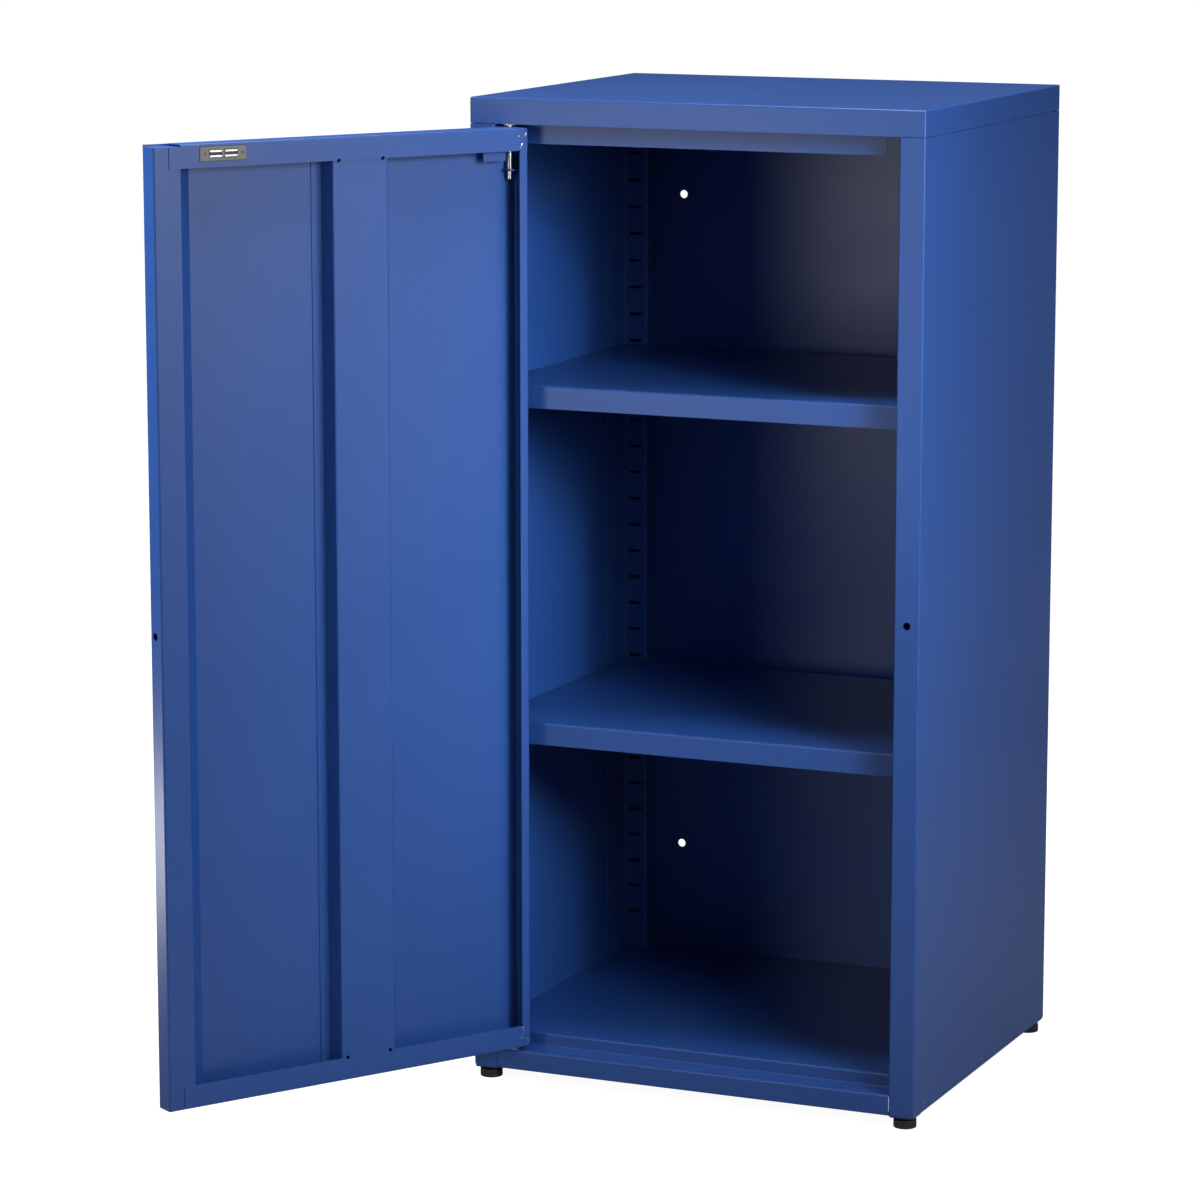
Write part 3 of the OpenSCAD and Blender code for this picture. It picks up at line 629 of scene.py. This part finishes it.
class LOCKER_OT_rivets(bpy.types.Operator):
    """Sets domed rivet heads along the edges of the back"""

    bl_idname = "locker.rivets"
    bl_label = "Set the rivets"

    def spots(self):
        """Middles of the rivets in x and z, found from the corners of the CAD rivets."""
        apart = 0.02  # corners closer than this belong to one rivet
        clusters = {}
        for vertex in frame["nodes"]["back_panel_rivets"].data.vertices:
            key = (vertex.co.x > MIDDLE.x + 0.1, round(vertex.co.z / apart))
            clusters.setdefault(key, []).append(vertex.co)
        found = []
        for group in clusters.values():
            low = Vector((min(c.x for c in group), 0, min(c.z for c in group)))
            high = Vector((max(c.x for c in group), 0, max(c.z for c in group)))
            centre = (low + high) / 2
            if all((centre - other).length >= apart for other in found):
                found.append(centre)
        return found

    def dome(self, own):
        """One rivet head at the origin, standing out along +Y."""
        leave_edit()
        bpy.ops.mesh.primitive_uv_sphere_add(segments=24, ring_count=12, radius=own.rivet_radius)
        head = bpy.context.object
        edit(head)
        bpy.ops.mesh.select_all(action="SELECT")
        bpy.ops.mesh.bisect(plane_co=(0, 0, 0), plane_no=(0, 0, 1), use_fill=True,
            clear_inner=True)
        leave_edit()
        head.scale = (1.0, 1.0, own.rivet_crown)
        head.rotation_euler = Euler((-math.pi / 2, 0, 0))
        settle(head)
        return head

    def execute(self, context):
        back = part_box("left_side_panel")[1].y
        head = self.dome(context.scene.locker_fittings)
        heads = [copy_at(head, Matrix.Translation((spot.x, back, spot.z)))
            for spot in self.spots()]
        bpy.data.objects.remove(head)
        rivets = joined(heads, "back_rivet_domes")
        close_up(rivets)
        smooth(rivets, 50)
        hand_over(rivets, "back_rivet_domes", "cabinet", rivet_aluminium())
        return {"FINISHED"}


class LOCKER_OT_weld_marks(bpy.types.Operator):
    """Lays the small bare welds in the mitred corners of the door"""

    bl_idname = "locker.weld_marks"
    bl_label = "Lay the corner welds"

    def bead(self, start, end, width):
        """A slim rounded bead from one point to the other."""
        along = end - start
        leave_edit()
        bpy.ops.mesh.primitive_uv_sphere_add(segments=16, ring_count=10, radius=width / 2)
        bead = bpy.context.object
        edit(bead, "VERT")
        mesh = bmesh.from_edit_mesh(bead.data)
        for vertex in mesh.verts:
            vertex.select_set(vertex.co.z > 1e-6)
        bmesh.update_edit_mesh(bead.data)
        bpy.ops.transform.translate(value=(0, 0, along.length - width))
        leave_edit()
        bead.rotation_mode = "QUATERNION"
        bead.rotation_quaternion = along.to_track_quat("Z", "Y")
        bead.location = start + along.normalized() * width / 2
        settle(bead)
        return bead

    def execute(self, context):
        own = context.scene.locker_fittings
        low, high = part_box("door_skin")
        lip_width = 0.0105  # of the lip on the hinge side
        lip_height = 0.024  # of the lips at the top and bottom
        lip_face = 0.0238  # the beads' middles, from the door's outer face
        beyond = 0.0008  # the dot's middle, past the lip
        beads = []
        for z, down in ((high.z, -1), (low.z, 1)):
            def at(share):
                return door_point(share * lip_width, lip_face, z + down * share * lip_height)
            beads.append(self.bead(at(0.22), at(0.42), own.bead))
            beads.append(self.bead(at(0.66), at(0.95), own.bead))
            dot = door_point(lip_width + beyond, lip_face, z + down * 0.4 * lip_height)
            beads.append(self.bead(dot, dot + Vector((0, 0, 1.6 * own.bead)), 1.5 * own.bead))
        welds = joined(beads, "door_corner_welds")
        close_up(welds)
        smooth(welds, 60)
        hand_over(welds, "door_corner_welds", "door", bright_steel())
        return {"FINISHED"}


# ---- stage ----


def aim(obj, target):
    obj.rotation_euler = (Vector(target) - obj.location).to_track_quat("-Z", "Y").to_euler()


def softbox(name, place, target, width, height, power, spread=180):
    """A rectangular area light; a spread below 180 degrees narrows its beam like a grid."""
    leave_edit()
    bpy.ops.object.light_add(type="AREA", location=place)
    lamp = bpy.context.object
    lamp.name = name
    lamp.data.shape = "RECTANGLE"
    lamp.data.size = width
    lamp.data.size_y = height
    lamp.data.energy = power
    lamp.data.spread = math.radians(spread)
    aim(lamp, target)


class LOCKER_OT_stage(bpy.types.Operator):
    """Sets the camera, the pale floor and the studio lights"""

    bl_idname = "locker.stage"
    bl_label = "Set the stage"

    def camera(self, own):
        """A long lens in front of the cabinet and a little to the right."""
        leave_edit()
        bpy.ops.object.camera_add()
        camera = bpy.context.object
        camera.name = "studio_camera"
        camera.data.sensor_width = 36.0
        camera.data.lens = own.lens
        camera.data.clip_start = 0.05
        camera.data.clip_end = 60.0
        flat = own.distance * math.cos(own.elevation)
        camera.location = MIDDLE + Vector((flat * math.sin(own.azimuth),
            -flat * math.cos(own.azimuth), own.distance * math.sin(own.elevation)))
        aim(camera, MIDDLE + Vector(own.aim))
        bpy.context.scene.camera = camera

    def floor(self, own):
        """Pale paper that the camera sees nearly white and that bounces little light."""
        leave_edit()
        bpy.ops.mesh.primitive_plane_add(size=FLOOR_SIZE, location=(0, 0, FLOOR_Z - FLOOR_GAP))
        floor = bpy.context.object
        floor.name = "studio_floor"
        settle(floor)
        paper = bpy.data.materials.new("Pale studio paper")
        paper.use_nodes = True
        tree = paper.node_tree
        tree.nodes.clear()
        place = add_node(tree, "ShaderNodeTexCoord", -1000, -160)
        reach = add_node(tree, "ShaderNodeVectorMath", -820, -160, operation="LENGTH")
        fade = add_node(tree, "ShaderNodeMapRange", -640, -160)
        fade.inputs["From Min"].default_value = own.fade_start
        fade.inputs["From Max"].default_value = own.fade_end
        fade.inputs["To Min"].default_value = own.floor_white
        glow = add_node(tree, "ShaderNodeEmission", -400, -160)
        matt = add_node(tree, "ShaderNodeBsdfDiffuse", -400, 0)
        matt.inputs["Color"].default_value = (*[own.floor_tone] * 3, 1.0)
        bounce = add_node(tree, "ShaderNodeEmission", -400, 120)
        bounce.inputs["Strength"].default_value = own.floor_bounce
        bright = add_node(tree, "ShaderNodeAddShader", -200, -100)
        dim = add_node(tree, "ShaderNodeAddShader", -200, 60)
        seen = add_node(tree, "ShaderNodeLightPath", -200, 360)
        pick = add_node(tree, "ShaderNodeMixShader", 0, 0)
        end = add_node(tree, "ShaderNodeOutputMaterial", 200, 0)
        link = tree.links.new
        link(place.outputs["Object"], reach.inputs[0])
        link(reach.outputs["Value"], fade.inputs["Value"])
        link(fade.outputs["Result"], glow.inputs["Strength"])
        link(matt.outputs[0], bright.inputs[0])
        link(glow.outputs[0], bright.inputs[1])
        link(matt.outputs[0], dim.inputs[0])
        link(bounce.outputs[0], dim.inputs[1])
        link(seen.outputs["Is Camera Ray"], pick.inputs[0])
        link(dim.outputs[0], pick.inputs[1])
        link(bright.outputs[0], pick.inputs[2])
        link(pick.outputs[0], end.inputs["Surface"])
        floor.data.materials.append(paper)

    def world(self, own):
        """White behind the cabinet, and a dim room for every other ray."""
        world = bpy.data.worlds.new("Studio")
        bpy.context.scene.world = world
        world.use_nodes = True
        tree = world.node_tree
        tree.nodes.clear()
        seen = add_node(tree, "ShaderNodeLightPath", -400, 100)
        room = add_node(tree, "ShaderNodeBackground", -200, 0)
        room.inputs["Color"].default_value = (0.95, 0.98, 1.0, 1.0)
        room.inputs["Strength"].default_value = own.ambient
        white = add_node(tree, "ShaderNodeBackground", -200, -140)
        white.inputs["Color"].default_value = (1.0, 1.0, 1.0, 1.0)
        pick = add_node(tree, "ShaderNodeMixShader", 0, 0)
        end = add_node(tree, "ShaderNodeOutputWorld", 200, 0)
        link = tree.links.new
        link(seen.outputs["Is Camera Ray"], pick.inputs[0])
        link(room.outputs[0], pick.inputs[1])
        link(white.outputs[0], pick.inputs[2])
        link(pick.outputs[0], end.inputs["Surface"])

    def lights(self, own):
        """Softboxes placed in metres from the floor under the middle of the body."""
        body = (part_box("floor_pan")[0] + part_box("top_cap")[1]) / 2
        ground = Vector((body.x, body.y, FLOOR_Z))
        key = (1.62, -1.09, 1.30)
        # Name, place, target, width, height, power and, for some, the beam's angle
        for name, place, target, *shape in (
                ("key_softbox", key, (-0.22, -0.12, 0.62), 0.85, 0.9, own.key_power, 70),
                ("inner_wall_spot", key, (-0.25, -0.10, 0.62), 0.15, 0.9, 0.7, 24),
                ("front_left_panel", (-1.05, -2.5, 0.88), (0, 0, 0.75), 0.9, 1.3, 9.0),
                ("overhead_softbox", (0.1, -0.2, 3.0), (0, 0.1, 1.0), 1.4, 1.2, 66.0),
                ("right_fill", (2.6, -0.6, 0.5), (0.25, 0.1, 0.5), 1.0, 0.7, 2.6),
                ("left_low_strip", (-1.35, -0.42, 0.1), (-0.4, -0.4, 0.2), 0.5, 0.17, 1.7),
                ("door_edge_spot", (-1.9, -0.73, 2.3), (-0.435, -0.57, 0.85), 0.4, 0.4, 4.5, 30),
                ("rear_fill", (-0.3, 1.7, 0.45), (-0.1, 0.2, 0.5), 1.4, 0.8, 6.0)):
            softbox(name, ground + Vector(place), ground + Vector(target), *shape)

    def execute(self, context):
        own = context.scene.locker_stage
        self.camera(own)
        self.floor(own)
        self.world(own)
        self.lights(own)
        context.scene.view_settings.view_transform = "Standard"
        return {"FINISHED"}


class LOCKER_PT_panel(bpy.types.Panel):
    """Lists the locker's steps in the sidebar"""

    bl_idname = "LOCKER_PT_panel"
    bl_label = "Locker cabinet"
    bl_space_type = "VIEW_3D"
    bl_region_type = "UI"
    bl_category = "Locker"

    def draw(self, context):
        for settings in SETTINGS:
            own = getattr(context.scene, settings)
            box = self.layout.box()
            for name in own.__annotations__:
                box.prop(own, name)
        for step in STEPS:
            self.layout.operator(step.bl_idname)


SETTINGS = {
    "locker_paint": PaintSettings,
    "locker_fittings": FittingSettings,
    "locker_stage": StageSettings,
}
STEPS = (LOCKER_OT_paint, LOCKER_OT_hardware, LOCKER_OT_pin_spring, LOCKER_OT_feet,
    LOCKER_OT_rivets, LOCKER_OT_weld_marks, LOCKER_OT_stage)


def register():
    for cls in (*SETTINGS.values(), *STEPS, LOCKER_PT_panel):
        bpy.utils.register_class(cls)
    for name, cls in SETTINGS.items():
        setattr(bpy.types.Scene, name, PointerProperty(type=cls))


def unregister():
    for name in SETTINGS:
        delattr(bpy.types.Scene, name)
    for cls in reversed((*SETTINGS.values(), *STEPS, LOCKER_PT_panel)):
        bpy.utils.unregister_class(cls)


def main():
    register()
    for step in STEPS:
        family, name = step.bl_idname.split(".")
        getattr(getattr(bpy.ops, family), name)()
    leave_edit()


if __name__ == "__main__":
    main()
